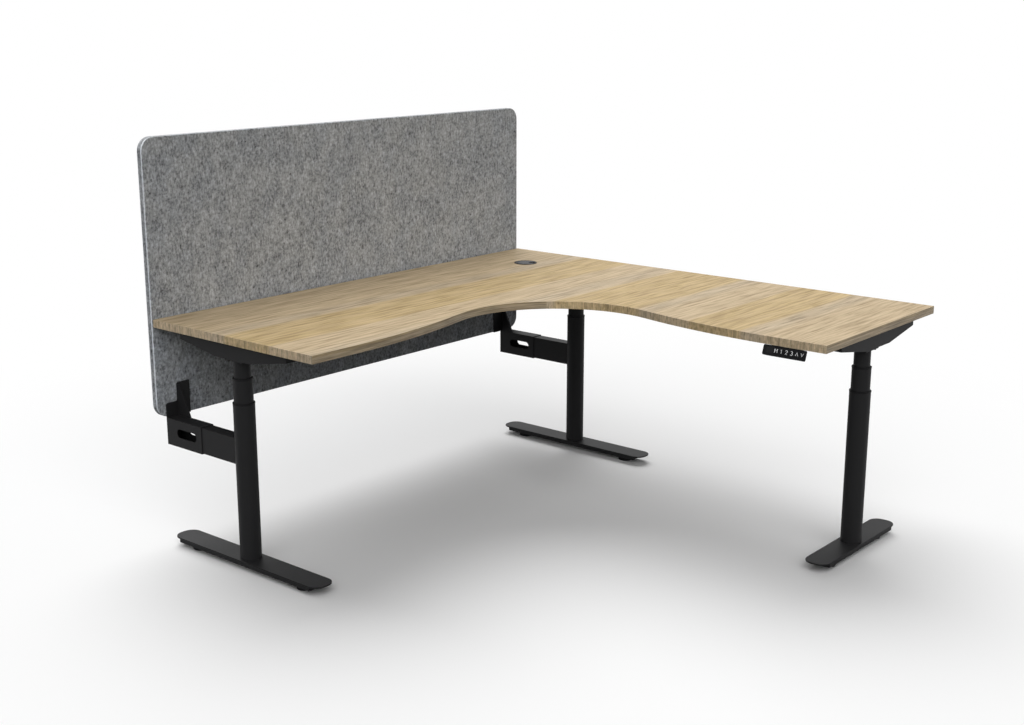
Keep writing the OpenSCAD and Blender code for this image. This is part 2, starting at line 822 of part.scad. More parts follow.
// Mirrors the children across X = 0 where side is -1
module scale_x(side) {
    if (side < 0) mirror([1, 0, 0]) children();
    else children();
}

// Screen: one felt board with round corners, which is a little smaller where it meets the other
// board. y is its front face, and meets is REAR or FRONT, the side that the other board is on
module felt_board(y, meets) {
    full_y = meets == REAR ? y : y + groove;
    step_y = meets == REAR ? y + felt_t - groove : y;
    color(FELT) translate([0, 0, screen_z + screen_h / 2]) union() {
        translate([0, full_y + felt_t - groove, 0]) rotate([90, 0, 0])
            linear_extrude(felt_t - groove) rounded_rect(screen_w, screen_h, screen_r);
        translate([0, step_y + groove, 0]) rotate([90, 0, 0]) linear_extrude(groove)
            rounded_rect(screen_w - 2 * groove, screen_h - 2 * groove, screen_r - groove);
    }
}

on_leg(LEFT) foot_plate(LEFT);  // left_foot_plate
on_leg(CORNER) foot_plate(CORNER);  // corner_foot_plate
on_leg(RETURN) foot_plate(RETURN);  // return_foot_plate
for (leg = [LEFT, CORNER, RETURN]) on_leg(leg) foot_channel(leg);  // foot_channels
on_leg(LEFT) glide(LEFT, REAR);  // left_rear_glide
on_leg(LEFT) glide(LEFT, FRONT);  // left_front_glide
on_leg(CORNER) glide(CORNER, REAR);  // corner_rear_glide
on_leg(CORNER) glide(CORNER, FRONT);  // corner_front_glide
on_leg(RETURN) glide(RETURN, REAR);  // return_rear_glide
on_leg(RETURN) glide(RETURN, FRONT);  // return_front_glide
on_leg(LEFT) outer_tube();  // left_outer_tube
on_leg(CORNER) outer_tube();  // corner_outer_tube
on_leg(RETURN) outer_tube();  // return_outer_tube
for (leg = [LEFT, CORNER, RETURN]) on_leg(leg) collar(outer_r, outer_bore_r, middle_r, outer_top);  // outer_collars
for (leg = [LEFT, CORNER, RETURN]) on_leg(leg) nut_post();  // nut_posts
on_leg(LEFT) middle_tube();  // left_middle_tube
on_leg(CORNER) middle_tube();  // corner_middle_tube
on_leg(RETURN) middle_tube();  // return_middle_tube
on_leg(LEFT) middle_guides();  // left_middle_guides
on_leg(CORNER) middle_guides();  // corner_middle_guides
on_leg(RETURN) middle_guides();  // return_middle_guides
on_leg(LEFT) hollow_screw();  // left_hollow_screw
on_leg(CORNER) hollow_screw();  // corner_hollow_screw
on_leg(RETURN) hollow_screw();  // return_hollow_screw
on_leg(LEFT) inner_tube();  // left_inner_tube
on_leg(CORNER) inner_tube();  // corner_inner_tube
on_leg(RETURN) inner_tube();  // return_inner_tube
for (leg = [LEFT, CORNER, RETURN]) on_leg(leg) bush(inner_r, middle_bore_r, inner_top - inner_l);  // inner_bushes
for (leg = [LEFT, CORNER, RETURN]) on_leg(leg) head_plate();  // head_plates
for (leg = [LEFT, CORNER, RETURN]) on_leg(leg) lift_motor();  // lift_motors
on_leg(LEFT) spindle();  // left_spindle
on_leg(CORNER) spindle();  // corner_spindle
on_leg(RETURN) spindle();  // return_spindle
on_leg(LEFT) side_bracket(LEFT);  // left_side_bracket
on_leg(CORNER) side_bracket(CORNER);  // corner_side_bracket
on_leg(RETURN) side_bracket(RETURN);  // return_side_bracket
top_rails();
for (leg = [LEFT, CORNER, RETURN]) on_leg(leg) head_bolts();
for (leg = [LEFT, CORNER, RETURN]) on_leg(leg) worktop_screws(leg);
control_box();
worktop_board();
worktop_edging();
grommet_ring();
grommet_cap();
handset_body();
handset_display();
key(0);  // key_memory
key(1);  // key_1
key(2);  // key_2
key(3);  // key_3
key(4);  // key_up
key(5);  // key_down
arm_beam(LEFT);  // left_arm_beam
arm_beam(CORNER);  // corner_arm_beam
arm_sleeve(LEFT);  // left_arm_sleeve
arm_sleeve(CORNER);  // corner_arm_sleeve
screen_upright(LEFT, 1);  // left_screen_upright
screen_upright(CORNER, -1);  // corner_screen_upright
felt_board(back_y + screen_gap, REAR);  // screen_front_board
felt_board(back_y + screen_gap + felt_t, FRONT);  // screen_back_board
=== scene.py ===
import json
import math

import bmesh
import bpy
from mathutils import Matrix, Vector

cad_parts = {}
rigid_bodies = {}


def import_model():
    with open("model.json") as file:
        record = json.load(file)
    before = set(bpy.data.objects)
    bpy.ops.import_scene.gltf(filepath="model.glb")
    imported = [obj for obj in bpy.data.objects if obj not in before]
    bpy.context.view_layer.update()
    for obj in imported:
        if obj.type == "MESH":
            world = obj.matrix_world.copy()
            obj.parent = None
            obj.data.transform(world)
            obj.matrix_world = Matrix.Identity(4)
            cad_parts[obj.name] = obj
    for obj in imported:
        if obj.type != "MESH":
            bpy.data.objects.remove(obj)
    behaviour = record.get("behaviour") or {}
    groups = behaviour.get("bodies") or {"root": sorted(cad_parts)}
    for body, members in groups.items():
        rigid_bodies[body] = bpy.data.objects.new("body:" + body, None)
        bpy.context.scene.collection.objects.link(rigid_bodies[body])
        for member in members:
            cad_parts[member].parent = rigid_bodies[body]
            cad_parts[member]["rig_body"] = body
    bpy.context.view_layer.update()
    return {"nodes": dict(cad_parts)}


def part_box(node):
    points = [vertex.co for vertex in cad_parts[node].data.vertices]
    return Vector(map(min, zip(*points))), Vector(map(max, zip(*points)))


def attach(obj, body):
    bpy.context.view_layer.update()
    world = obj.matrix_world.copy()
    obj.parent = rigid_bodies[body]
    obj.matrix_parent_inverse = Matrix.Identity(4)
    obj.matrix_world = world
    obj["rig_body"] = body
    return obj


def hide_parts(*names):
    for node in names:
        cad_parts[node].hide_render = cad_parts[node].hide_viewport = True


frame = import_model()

nodes = frame["nodes"]

# The camera. Its place, turn and lens were fitted to some thirty places in the photograph: the corners
# of the worktop and the screen, the columns, the feet, the handset and the grommet.
PHOTO_W = 1024
FOCAL_PX = 1399.7
SENSOR_W = 36.0
CAMERA_AT = (-3.4798, -2.7736, 1.7095)
TURN = math.radians(49.897)
TILT = math.radians(14.113)
ROLL = math.radians(0.024)
SIGHT = 60.0
camera_data = bpy.data.cameras.new("photo_camera")
camera_data.sensor_width = SENSOR_W
camera_data.lens = FOCAL_PX / PHOTO_W * SENSOR_W
camera_data.clip_end = SIGHT
camera = bpy.data.objects.new("photo_camera", camera_data)
bpy.context.scene.collection.objects.link(camera)
bpy.context.scene.camera = camera
camera.location = CAMERA_AT
look = Vector((math.sin(TURN) * math.cos(TILT), math.cos(TURN) * math.cos(TILT), -math.sin(TILT)))
camera.rotation_mode = "QUATERNION"
camera.rotation_quaternion = (look.to_track_quat("-Z", "Y")
                              @ Matrix.Rotation(ROLL, 3, "Z").to_quaternion())

# Feet. Each is a flat steel plate with round ends, welded on a folded tray that stiffens it, and it
# carries a column. Like all the steel that shows, it has a satin black powder coat: a fine orange peel,
# an uneven sheen and a scatter of paler specks.
LEGS = ("left", "corner", "return")
FOOT_EDGE = 0.0010
EDGE_FROM = math.radians(28)
CREASE_FROM = math.radians(50)
FLAT_WITHIN = math.radians(0.5)
WELD_WITHIN = 1e-5
PEEL_FINE = 900.0
PEEL_DEPTH = 0.00008
COAT_GLOSS = 0.1


class Socket:
    """One output of a material's node. Arithmetic on it adds Math nodes."""

    def __init__(self, tree, out):
        self.tree = tree
        self.out = out

    def math(self, operation, *others):
        inputs = dict(enumerate((self, *others)))
        return self.tree.add("Math", {"operation": operation}, inputs)["Value"]

    def __add__(self, other):
        return self.math("ADD", other)

    def __sub__(self, other):
        return self.math("SUBTRACT", other)

    def __mul__(self, other):
        return self.math("MULTIPLY", other)

    def __truediv__(self, other):
        return self.math("DIVIDE", other)

    def __rsub__(self, other):
        return self * -1.0 + other

    def __abs__(self):
        return self.math("ABSOLUTE")

    __radd__ = __add__
    __rmul__ = __mul__

    def step(self, start, end):
        """0 below start, 1 above end, and smooth between."""
        settings = {"interpolation_type": "SMOOTHSTEP"}
        return self.tree.add("MapRange", settings, {0: self, 1: start, 2: end})["Result"]

    def bump_at(self, middle, reach):
        """1 at the middle, falling to 0 at the reach on either side."""
        return 1.0 - abs(self - middle).step(0.0, reach)


class Tree:
    """A material or world, with the nodes that make it."""

    def __init__(self, name, owners=bpy.data.materials):
        self.owner = owners.new(name)
        self.owner.use_nodes = True
        self.nodes = self.owner.node_tree.nodes
        self.links = self.owner.node_tree.links
        self.nodes.clear()

    def feed(self, place, value):
        """Links a Socket into an input, or sets the input to a plain value."""
        if isinstance(value, Socket):
            self.links.new(value.out, place)
        elif place.type == "RGBA":
            place.default_value = (*value, 1.0)
        else:
            place.default_value = value

    def add(self, kind, settings=None, inputs=None):
        """Makes a node from its type, its settings and its inputs, and returns its outputs by name."""
        node = self.nodes.new("ShaderNode" + kind)
        for key, value in (settings or {}).items():
            setattr(node, key, value)
        for key, value in (inputs or {}).items():
            self.feed(node.inputs[key], value)
        return {out.name: Socket(self, out) for out in node.outputs if out.enabled}

    def mix(self, factor, first, second):
        """Mixes two colours."""
        return self.add("Mix", {"data_type": "RGBA"}, {0: factor, 6: first, 7: second})["Result"]

    def scale(self, colour, amount):
        """A colour or vector times a number."""
        settings = {"operation": "SCALE"}
        return self.add("VectorMath", settings, {"Vector": colour, "Scale": amount})["Vector"]

    def vector(self, x, y, z=0.0):
        return self.add("CombineXYZ", None, {"X": x, "Y": y, "Z": z})["Vector"]

    def parts(self, vector):
        split = self.add("SeparateXYZ", None, {0: vector})
        return split["X"], split["Y"], split["Z"]

    def point(self):
        """The point on the object, in the desk's own frame, in metres."""
        return self.add("TexCoord")["Object"]

    def noise(self, vector, scale=1.0, detail=2.0, rough=0.5):
        """Noise from 0 to 1 with a mean of a half."""
        inputs = {"Vector": vector, "Scale": scale, "Detail": detail, "Roughness": rough}
        return list(self.add("TexNoise", None, inputs).values())[0]

    def relief(self, height, distance):
        """A normal from a height between 0 and 1 that stands for the distance in metres."""
        return self.add("Bump", None, {"Distance": distance, "Height": height})["Normal"]

    def end(self, shader, kind="Material"):
        self.add("Output" + kind, None, {"Surface": shader})
        return self.owner

    def surface(self, colour, roughness, normal=None, **others):
        """Ends the material with a Principled surface."""
        inputs = {"Base Color": colour, "Roughness": roughness}
        if normal:
            inputs["Normal"] = normal
        inputs.update({key.replace("_", " "): value for key, value in others.items()})
        return self.end(self.add("BsdfPrincipled", None, inputs)["BSDF"])


def linear(*values):
    """A colour given in the 0 to 255 values of a photograph, as a material needs it."""
    return tuple(((v / 255 + 0.055) / 1.055) ** 2.4 for v in values)


def place_look(name, mesh, material, slot, body, *replaced):
    """Places a mesh that rides on a body, and stands in for CAD nodes if any are named."""
    mesh.materials.clear()
    mesh.materials.append(material)
    made = bpy.data.objects.new(name, mesh)
    bpy.context.scene.collection.objects.link(made)
    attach(made, body)
    if replaced:
        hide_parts(*replaced)
    return made


def soften(material, slot, radius, *names):
    """Stands in for CAD nodes with the same shapes, whose sharp edges are rounded by a small radius."""
    for name in names:
        mesh = nodes[name].data.copy()
        shape = bmesh.new()
        shape.from_mesh(mesh)
        bmesh.ops.remove_doubles(shape, verts=shape.verts, dist=WELD_WITHIN)
        bmesh.ops.dissolve_limit(shape, angle_limit=FLAT_WITHIN, verts=shape.verts,
                                 edges=shape.edges)
        sharp = [edge for edge in shape.edges
                 if len(edge.link_faces) == 2 and edge.calc_face_angle() > EDGE_FROM]
        bmesh.ops.bevel(shape, geom=sharp, offset=radius, segments=2, profile=0.5,
                        affect="EDGES", clamp_overlap=True)
        for face in shape.faces:
            face.smooth = True
        shape.to_mesh(mesh)
        shape.free()
        mesh.set_sharp_from_angle(angle=CREASE_FROM)
        made = place_look(name + ".look", mesh, material, slot, nodes[name]["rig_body"], name)
        weighted = made.modifiers.new("even_faces", "WEIGHTED_NORMAL")
        weighted.keep_sharp = True


coat = Tree("black_powder_coat")
point = coat.point()
peel = coat.noise(point, PEEL_FINE)
cloud = coat.noise(point, 7.0, detail=4.0)
speck = coat.noise(point, 2600.0, detail=1.0).step(0.6, 0.75)
coat_colour = coat.mix(cloud, linear(33, 33, 34), linear(42, 42, 43))
coat_colour = coat.mix(speck * 0.35, coat_colour, linear(52, 52, 53))
powder_coat = coat.surface(coat_colour, cloud * 0.16 + 0.42, coat.relief(peel, PEEL_DEPTH),
                           Specular_IOR_Level=COAT_GLOSS)
soften(powder_coat, "black_powder_coat", FOOT_EDGE, "foot_channels",
       *[leg + "_foot_plate" for leg in LEGS])

# Levelling glides. Each is a round nylon pad, moulded on a stem that screws into a weld nut in the
# foot's tray. All the moulded parts have the fine matt grain of a spark-eroded mould.
GLIDE_EDGE = 0.0008
GRAIN_FINE = 1600.0
GRAIN_DEPTH = 0.00006
PLASTIC_GLOSS = 0.12
mould = Tree("black_plastic")
grain = mould.noise(mould.point(), GRAIN_FINE)
haze = mould.noise(mould.point(), 24.0, detail=3.0)
plastic = mould.surface(mould.mix(grain * 0.6 + haze * 0.4, linear(16, 16, 17), linear(26, 26, 28)),
                        grain * 0.14 + haze * 0.1 + 0.38, mould.relief(grain, GRAIN_DEPTH),
                        Specular_IOR_Level=PLASTIC_GLOSS)
soften(plastic, "black_plastic", GLIDE_EDGE,
       *[f"{leg}_{end}_glide" for leg in LEGS for end in ("rear", "front")])

# Columns. Three drawn steel tubes slide in one another: the outer one stands on the foot, the inner one
# hangs from the head plate, and the middle one travels half as far. They are coated like the feet, and
# their draw marks run upright under the coat.
TUBE_EDGE = 0.0005
DRAW_MARK_W = 0.0022
DRAW_MARK_L = 0.6
drawn = Tree("coated_tube")
x, y, z = drawn.parts(drawn.point())
draw_place = drawn.vector(x / DRAW_MARK_W, y / DRAW_MARK_W, z / DRAW_MARK_L)
draw_marks = drawn.noise(draw_place, detail=3.0)
tube_peel = drawn.noise(drawn.point(), PEEL_FINE)
tube_cloud = drawn.noise(drawn.point(), 9.0, detail=4.0)
tube_tone = tube_cloud * 0.5 + draw_marks * 0.5
tube_colour = drawn.mix(tube_tone, linear(34, 34, 35), linear(44, 44, 45))
coated_tube = drawn.surface(tube_colour, tube_cloud * 0.12 + draw_marks * 0.08 + 0.40,
                            drawn.relief(tube_peel * 0.7 + draw_marks * 0.3, PEEL_DEPTH),
                            Specular_IOR_Level=COAT_GLOSS)
soften(coated_tube, "black_powder_coat", TUBE_EDGE,
       *[f"{leg}_{stage}_tube" for leg in LEGS for stage in ("outer", "middle", "inner")])

# Guide collars and bushes. Moulded rings that the tubes slide in: a collar snaps into each tube's mouth
# and a bush sits round the lower end of the tube inside it. They are of the glides' black plastic.
COLLAR_EDGE = 0.0004
soften(plastic, "black_plastic", COLLAR_EDGE, "outer_collars")


def paint(material, *names):
    """Gives CAD nodes their material, and keeps their mesh."""
    for name in names:
        nodes[name].data.materials.clear()
        nodes[name].data.materials.append(material)


paint(plastic, "inner_bushes", *[leg + "_middle_guides" for leg in LEGS])

# Lift drive. In each column a tube motor turns a spindle in a hollow screw, which climbs in the nut of a
# slotted post. They are zinc-plated steel with a soft spangle, and the screws carry a rolled thread.
THREAD_PITCH = 0.004
THREAD_DEPTH = 0.0002


def zinc_plate(name, height=None):
    """Zinc plate on steel, plain or over the ridges of a thread."""
    zinc = Tree(name)
    spangle = zinc.noise(zinc.point(), 240.0, detail=3.0)
    normal = zinc.relief(height(zinc), THREAD_DEPTH) if height else None
    return zinc.surface(zinc.mix(spangle, linear(150, 152, 155), linear(196, 198, 200)),
                        spangle * 0.2 + 0.28, normal, Metallic=1.0)


def thread_height(zinc):
    """The rolled thread's ridges, one above another."""
    return (zinc.parts(zinc.point())[2] * (math.tau / THREAD_PITCH)).math("SINE") * 0.5 + 0.5


plain_zinc = zinc_plate("zinc_plate")
paint(plain_zinc, "nut_posts", "lift_motors")
paint(zinc_plate("zinc_thread", thread_height),
      *[f"{leg}_{screw}" for leg in LEGS for screw in ("hollow_screw", "spindle")])

# Head plates, side brackets and rails. The brackets are folded from 3 mm sheet and bolted to the plates
# on the columns, the rails are rectangular tube, and all are powder-coated. Black bolts hold the
# columns, and zinc-plated screws hold the worktop.
FOLD_RADIUS = 0.0009
soften(powder_coat, "black_powder_coat", FOLD_RADIUS, "head_plates", "top_rails",
       *[leg + "_side_bracket" for leg in LEGS])
paint(powder_coat, "head_bolts")
paint(plain_zinc, "worktop_screws")

# Control box. A moulded two-part housing screwed under the worktop by its ears, with the sockets for
# the columns, the handset and the mains lead in one end.
BOX_EDGE = 0.0006
soften(plastic, "black_plastic", BOX_EDGE, "control_box")

# Worktop board. Particle board with a light-oak laminate, whose grain runs along the screen on both
# wings, with a faint pink blush. Honey bands and greyer seams, given by their distance from the back edge
# in metres, lie across the return wing.
HONEY_BANDS = ((0.352, 0.562), (0.790, 1.080), (1.305, 1.508))
GREY_SEAMS = ((0.310, 0.060), (0.735, 0.075), (1.110, 0.060), (1.550, 0.060))
BAND_FADE = 0.008
PORE_DEPTH = 0.00005
PALE = (linear(209, 189, 157), linear(154, 135, 105))
HONEY = (linear(204, 180, 134), linear(150, 128, 87))
GREY = (linear(201, 184, 158), linear(143, 129, 107))
PINK = linear(203, 179, 149)
back_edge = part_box("worktop_edging")[1].y


def oak(tree, along, across):
    """Colour, and pores from 0 to 1, of oak laminate at a place along and across its grain."""
    def figure(pitch_along, pitch_across, shift, detail=2.0, rough=0.5):
        place = tree.vector(along / pitch_along, across / pitch_across, shift)
        return tree.noise(place, detail=detail, rough=rough)

    sway = figure(0.8, 0.16, 0.0) - 0.5
    wander = figure(0.17, 0.05, 23.0) - 0.5
    across = across + sway * 0.022 + wander * 0.012
    honey = sum(across.step(near - BAND_FADE, near + BAND_FADE)
                - across.step(far - BAND_FADE, far + BAND_FADE) for near, far in HONEY_BANDS)
    grey = sum(across.bump_at(middle, reach) for middle, reach in GREY_SEAMS)
    broad = figure(1.6, 0.045, 3.0, detail=3.0)
    lines = figure(0.19, 0.012, 7.0, detail=3.0)
    veins = figure(0.12, 0.009, 9.0).step(0.54, 0.72)
    threads = figure(0.08, 0.0022, 11.0)
    blush = figure(0.14, 0.03, 19.0).step(0.35, 0.65)
    pores = figure(0.024, 0.0011, 17.0).step(0.6, 0.7)
    depth = (broad - 0.5) * 0.5 + (lines - 0.5) * 2.6 + (threads - 0.5) * 0.8 + veins * 0.5 + 0.30
    depth = depth.step(-0.3, 1.2)
    colour = tree.mix(depth, *PALE)
    colour = tree.mix(honey * 0.85, colour, tree.mix(depth, *HONEY))
    colour = tree.mix(grey * 0.85, colour, tree.mix(depth, *GREY))
    colour = tree.mix(blush * 0.2, colour, PINK)
    return tree.scale(colour, 1.0 - pores * 0.10), pores


board = Tree("oak_laminate")
x, y, _ = board.parts(board.point())
colour, pores = oak(board, x, back_edge - y)
oak_laminate = board.surface(colour, pores * 0.15 + 0.50, board.relief(1.0 - pores, PORE_DEPTH),
                             Specular_IOR_Level=0.03)
paint(oak_laminate, "worktop_board")

# Edging. A 2 mm strip in the same decor, a little darker, glued round the board with its corners eased.
# Where it faces along the grain it shows end grain in short upright strokes, with painted light that
# makes these faces lighter than the rest, and where it faces across the grain it shows long streaks.
EASED = 0.0006
strip = Tree("oak_edging")
x, y, z = strip.parts(strip.point())
side_x, side_y, _ = strip.parts(strip.add("TexCoord")["Normal"])
end_grain_painted_lighter = (abs(side_x) - abs(side_y)).step(-0.02, 0.02)
stroke_colour = oak(strip, z * 9.0, back_edge - y)[0]
streak_colour = oak(strip, x, z * 1.6 + 0.1)[0]
end_strokes = strip.noise(strip.vector(y / 0.0042, z / 0.05), detail=3.0, rough=0.6)
clefts = strip.noise(strip.vector(y / 0.010, z / 0.09, 4.0), detail=2.0).step(0.54, 0.66)
streaks = strip.noise(strip.vector(x / 0.10, z / 0.0045, y / 0.10), detail=3.0, rough=0.6)
furrows = strip.noise(strip.vector(x / 0.16, z / 0.0038, y / 0.16 + 9.0)).step(0.52, 0.68)
# The faces along the grain carry painted light: their strokes are scaled up so that they are lighter than
# the streaks.
edge_colour = strip.mix(end_grain_painted_lighter, strip.scale(streak_colour, streaks * 1.3 - furrows * 0.22 + 0.12),
                        strip.scale(stroke_colour, end_strokes * 1.6 - clefts * 0.30 + 0.36))
oak_edging = strip.surface(edge_colour, 0.5)
soften(oak_edging, "oak_edging", EASED, "worktop_edging")

# Cable grommet. A flanged ring pressed into the hole, moulded like the glides, and a cap that turns in
# it and has a notch for the cables. The cap is of a smoother, slightly blue plastic.
GROMMET_EDGE = 0.0006
RIPPLE_DEPTH = 0.00003
smooth = Tree("cap_plastic")
ripple = smooth.noise(smooth.point(), 700.0)
cap_plastic = smooth.surface(smooth.mix(ripple, linear(40, 42, 46), linear(50, 53, 58)),
                             ripple * 0.1 + 0.36, smooth.relief(ripple, RIPPLE_DEPTH),
                             Specular_IOR_Level=PLASTIC_GLOSS)
soften(plastic, "black_plastic", GROMMET_EDGE, "grommet_ring")
soften(cap_plastic, "black_plastic", GROMMET_EDGE, "grommet_cap")

# Handset. A shallow black moulding screwed under the return wing by its tongue, with six keys in its
# tilted face and a dark window over the display.
KEYS = ("key_memory", "key_1", "key_2", "key_3", "key_up", "key_down")
HANDSET_EDGE = 0.0005
GLASS_GLOSS = 0.2
soften(plastic, "black_plastic", HANDSET_EDGE, "handset_body", *KEYS)
window = Tree("display_glass")
smear = window.noise(window.point(), 60.0, detail=3.0)
window_colour = window.mix(smear, linear(11, 11, 13), linear(17, 17, 19))
display_glass = window.surface(window_colour, smear * 0.1 + 0.12, Specular_IOR_Level=GLASS_GLOSS)
paint(display_glass, "handset_display")

# Key marks. Each key has a plain white mark printed on it: M, 1, 2, 3, an arrow up and an arrow down.
# A mark is drawn as strokes in a box one unit high with its middle at 0, and lies just on its key.
MARK_HEIGHT = 0.0118
STROKE = 0.0017
INK_LIFT = 0.00004
FACE_TILT = math.radians(20.0)
face_up = Vector((math.sin(FACE_TILT), 0.0, math.cos(FACE_TILT)))
face_out = Vector((-math.cos(FACE_TILT), 0.0, math.sin(FACE_TILT)))
face_right = Vector((0.0, -1.0, 0.0))
ink = Tree("white_print")
speckle = ink.noise(ink.point(), 3000.0)
white_print = ink.surface(ink.mix(speckle, linear(236, 237, 238), linear(250, 250, 251)), 0.55)


def bow(cx, cy, rx, ry, start, end, steps=14):
    """Points on part of an ellipse, from the start to the end angle in degrees."""
    angles = [math.radians(start + (end - start) * n / steps) for n in range(steps + 1)]
    return [(cx + rx * math.cos(a), cy + ry * math.sin(a)) for a in angles]


MARKS = {
    "key_memory": [[(-0.38, -0.5), (-0.38, 0.5)], [(-0.38, 0.5), (0.0, -0.1), (0.38, 0.5)],
                   [(0.38, 0.5), (0.38, -0.5)]],
    "key_1": [[(-0.16, 0.32), (0.06, 0.5), (0.06, -0.5)]],
    "key_2": [bow(0.0, 0.22, 0.28, 0.28, 165, -35) + [(-0.3, -0.5), (0.32, -0.5)]],
    "key_3": [bow(-0.02, 0.25, 0.27, 0.25, 150, -90), bow(-0.02, -0.24, 0.31, 0.26, 90, -150)],
    "key_up": [[(-0.34, -0.4), (0.0, 0.45), (0.34, -0.4)]],
    "key_down": [[(-0.34, 0.4), (0.0, -0.45), (0.34, 0.4)]],
}


def ink_stroke(points, first):
    """The corners of a flat stroke along a line of points, and its faces, counted from first."""
    corners = []
    for n, here in enumerate(points):
        before = Vector(points[max(n - 1, 0)])
        after = Vector(points[min(n + 1, len(points) - 1)])
        run = (after - before).normalized()
        side = Vector((-run.y, run.x)) * STROKE / 2
        corners += [Vector(here) * MARK_HEIGHT + side, Vector(here) * MARK_HEIGHT - side]
    starts = range(first, first + 2 * len(points) - 2, 2)
    return corners, [(n, n + 1, n + 3, n + 2) for n in starts]


for key, mark in MARKS.items():
    low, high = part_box(key)
    middle = (low + high) / 2
    key_face = max((v.co - middle).dot(face_out) for v in nodes[key].data.vertices)
    corners, faces = [], []
    for line in mark:
        added, quads = ink_stroke(line, len(corners))
        corners += added
        faces += quads
    mesh = bpy.data.meshes.new(key + "_mark")
    raised = middle + face_out * (key_face + INK_LIFT)
    mesh.from_pydata([raised + face_right * c.x + face_up * c.y for c in corners], [], faces)
    place_look(key + "_mark", mesh, white_print, "black_plastic", key)

# Screen arms and uprights. On the left and corner columns a rectangular beam is welded to the outer
# tube, and a slotted sleeve slides over it. A stepped plate with a web is welded to the sleeve's end
# and bolted to the felt. All have the desk's black powder coat.
ARM_EDGE = 0.0009
soften(powder_coat, "black_powder_coat", ARM_EDGE,
       *[f"{leg}_{piece}" for leg in ("left", "corner")
         for piece in ("arm_beam", "arm_sleeve", "screen_upright")])

# Screen boards. Two pressed felt boards with round corners, back to back, their eased edges meeting in a
# seam. The felt is a mid-grey marl of short, mostly upright strokes over a soft mottle. On its cut edge a
# painted highlight runs just behind the front face, weaker on the top edge, and painted shade darkens the
# seam between the boards.
SCREEN_CORNER = 0.045
SCREEN_EDGE = 0.0025
SEAM_SHADE_REACH = 0.005
RIM_HIGHLIGHT_FROM = 0.004
RIM_HIGHLIGHT_TO = 0.008
FELT_DEPTH = 0.0006
CORNER_STEPS = 12
EDGE_STEPS = 4
marl = Tree("grey_felt")
x, y, z = marl.parts(marl.point())


def fibres(pitch, length, lean, shift, detail=2.0):
    """Noise drawn out into strokes of a length, which lean by so much from upright."""
    across = x - z * lean
    place = marl.vector(across / pitch, z / length, y / pitch + shift)
    return marl.noise(place, detail=detail, rough=0.6)


mottle = fibres(0.10, 0.15, 0.0, 0.0, detail=3.0)
patch = fibres(0.020, 0.032, 0.1, 5.0, detail=3.0)
curls = fibres(0.0072, 0.0088, 0.1, 9.0)
strands = fibres(0.0055, 0.024, -0.1, 13.0)
fuzz = marl.noise(marl.point(), 900.0, detail=4.0, rough=0.7)
fleck = fibres(0.011, 0.014, 0.1, 31.0, detail=1.0).step(0.68, 0.76)
shade = ((mottle - 0.5) * 0.4 + (patch - 0.5) * 1.1 + (curls - 0.5) * 2.1 + (strands - 0.5) * 1.3
         + (fuzz - 0.5) * 0.5 - fleck * 0.4 + 1.02)
_, side_y, side_z = marl.parts(marl.add("TexCoord")["Normal"])
cut = 1.0 - abs(side_y).step(0.2, 0.8)
front_y, seam_y = (corner.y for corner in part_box("screen_front_board"))
# A painted highlight along the cut edge, just behind the front face, weaker where the edge faces up.
rim_highlight = (1.0 - (y - front_y).step(RIM_HIGHLIGHT_FROM, RIM_HIGHLIGHT_TO)) * (1.0 - side_z.step(0.5, 1.0) * 0.7)
# Painted shade along the seam between the two boards.
seam_shade = (y - seam_y).bump_at(0.0, SEAM_SHADE_REACH)
# The painted highlight and shade go on the cut faces only, which are also made a little lighter overall.
shade = shade + cut * (rim_highlight * 1.7 - seam_shade * 0.5 + 0.1)
tint = marl.mix(mottle.step(0.38, 0.6), linear(166, 170, 175), linear(168, 171, 174))
felt = marl.surface(marl.scale(tint, shade), 0.95, marl.relief(fuzz * 0.5 + curls * 0.5, FELT_DEPTH),
                    Specular_IOR_Level=0.2, Sheen_Weight=0.25, Sheen_Roughness=0.5)


def felt_board(node):
    """A flat board with round corners and softly rounded edges, in the place of a CAD board."""
    low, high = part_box(node)
    turns = [math.pi / 2 * n / EDGE_STEPS for n in range(EDGE_STEPS + 1)]
    easing = [(SCREEN_EDGE * (1 - math.sin(a)), SCREEN_EDGE * (1 - math.cos(a))) for a in turns]
    loops = [(inset, low.y + deep) for inset, deep in easing]
    loops += [(inset, high.y - deep) for inset, deep in reversed(easing)]
    middles = [(high.x - SCREEN_CORNER, high.z - SCREEN_CORNER),
               (low.x + SCREEN_CORNER, high.z - SCREEN_CORNER),
               (low.x + SCREEN_CORNER, low.z + SCREEN_CORNER),
               (high.x - SCREEN_CORNER, low.z + SCREEN_CORNER)]
    points = []
    for inset, depth in loops:
        for quarter, (mx, mz) in enumerate(middles):
            for n in range(CORNER_STEPS + 1):
                a = math.pi / 2 * (quarter + n / CORNER_STEPS)
                reach = SCREEN_CORNER - inset
                points.append((mx + reach * math.cos(a), depth, mz + reach * math.sin(a)))
    ring = 4 * (CORNER_STEPS + 1)
    faces = [tuple(range(ring)), tuple(reversed(range(len(points) - ring, len(points))))]
    for loop in range(len(loops) - 1):
        for n in range(ring):
            a, b = loop * ring + n, loop * ring + (n + 1) % ring
            faces.append((b, a, a + ring, b + ring))
    mesh = bpy.data.meshes.new(node)
    mesh.from_pydata(points, [], faces)
    mesh.validate()
    mesh.shade_smooth()
    mesh.set_sharp_from_angle(angle=CREASE_FROM)
    made = place_look(node + ".look", mesh, felt, "grey_felt", "stand", node)
    made.modifiers.new("even_faces", "WEIGHTED_NORMAL")


felt_board("screen_front_board")
felt_board("screen_back_board")

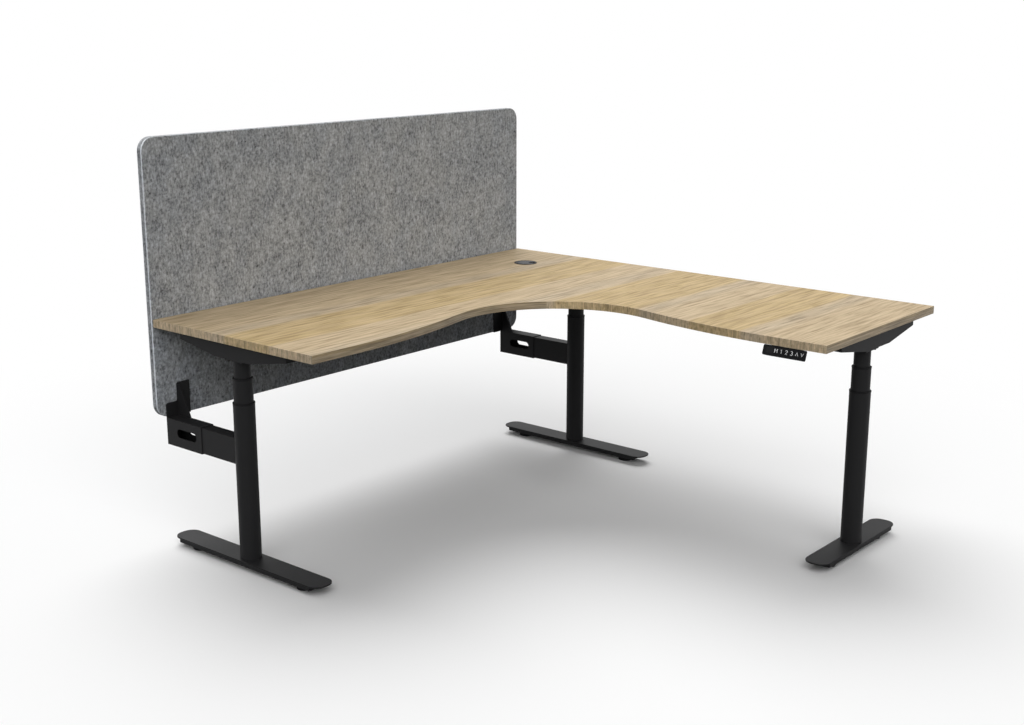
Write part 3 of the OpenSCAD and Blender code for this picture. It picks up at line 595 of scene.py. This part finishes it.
# The studio. One broad lamp high behind the screen, under a soft dome that is brighter in front on the
# left. The camera and the reflections see a white backdrop and a pale floor that fades into it, and the
# floor gives little light back, because the photograph is dark under the desk.
WHITE = (1.0, 1.0, 1.0)
DOME_LOW = 0.12
DOME_HIGH = 0.24
FRONT_FROM = Vector((-0.56, -0.55, 0.61)).normalized()
FRONT_EDGE = 0.75
FRONT_LIGHT = 2.1
LAMP_FROM = Vector((1.7, 2.6, 4.9))
LAMP_SPREAD = math.radians(54.0)
LAMP_STRENGTH = 2.2
FLOOR_HALF = 20.0
FLOOR_GREY = 0.90
FLOOR_BOUNCE = 0.06
FADE_FROM = 1.9
FADE_TO = 3.4
bpy.context.scene.view_settings.view_transform = "Standard"


def seen(tree):
    """1 where the camera, a reflection or a clear material looks, and 0 for the light that falls."""
    rays = tree.add("LightPath")
    looks = rays["Is Camera Ray"] + rays["Is Glossy Ray"] + rays["Is Transmission Ray"]
    return looks.math("MINIMUM", 1.0)


sky = Tree("studio_dome", bpy.data.worlds)
gx, gy, gz = sky.parts(sky.add("TexCoord")["Generated"])
ahead = gx * FRONT_FROM.x + gy * FRONT_FROM.y + gz * FRONT_FROM.z
dome = gz.step(-0.1, 1.0) * (DOME_HIGH - DOME_LOW) + DOME_LOW
dome = dome + ahead.step(FRONT_EDGE, 1.0) * FRONT_LIGHT
backdrop = sky.add("Background", None, {"Color": WHITE})["Background"]
light = sky.add("Background", None, {"Color": WHITE, "Strength": dome})["Background"]
both = sky.add("MixShader", None, {0: seen(sky), 1: light, 2: backdrop})["Shader"]
bpy.context.scene.world = sky.end(both, "World")

lamp_data = bpy.data.lights.new("broad_lamp", "SUN")
lamp_data.angle = LAMP_SPREAD
lamp_data.energy = LAMP_STRENGTH
lamp = bpy.data.objects.new("broad_lamp", lamp_data)
lamp.location = LAMP_FROM
lamp.rotation_euler = LAMP_FROM.to_track_quat("Z", "Y").to_euler()
bpy.context.scene.collection.objects.link(lamp)

floor_mesh = bpy.data.meshes.new("floor")
floor_mesh.from_pydata([(-FLOOR_HALF, -FLOOR_HALF, 0.0), (FLOOR_HALF, -FLOOR_HALF, 0.0),
                        (FLOOR_HALF, FLOOR_HALF, 0.0), (-FLOOR_HALF, FLOOR_HALF, 0.0)],
                       [], [(0, 1, 2, 3)])
floor = bpy.data.objects.new("floor", floor_mesh)
bpy.context.scene.collection.objects.link(floor)
ground = Tree("pale_floor")
x, y, _ = ground.parts(ground.point())
shown = seen(ground)
fade = (x * x + y * y).math("SQRT").step(FADE_FROM, FADE_TO) * shown
bounce = ground.add("BsdfDiffuse", None, {"Color": (FLOOR_BOUNCE,) * 3})["BSDF"]
matt = ground.add("BsdfDiffuse", None, {"Color": (FLOOR_GREY,) * 3})["BSDF"]
glow = ground.add("Emission", None, {"Color": WHITE})["Emission"]
pale = ground.add("MixShader", None, {0: shown, 1: bounce, 2: matt})["Shader"]
faded = ground.add("MixShader", None, {0: fade, 1: pale, 2: glow})["Shader"]
floor_mesh.materials.append(ground.end(faded))
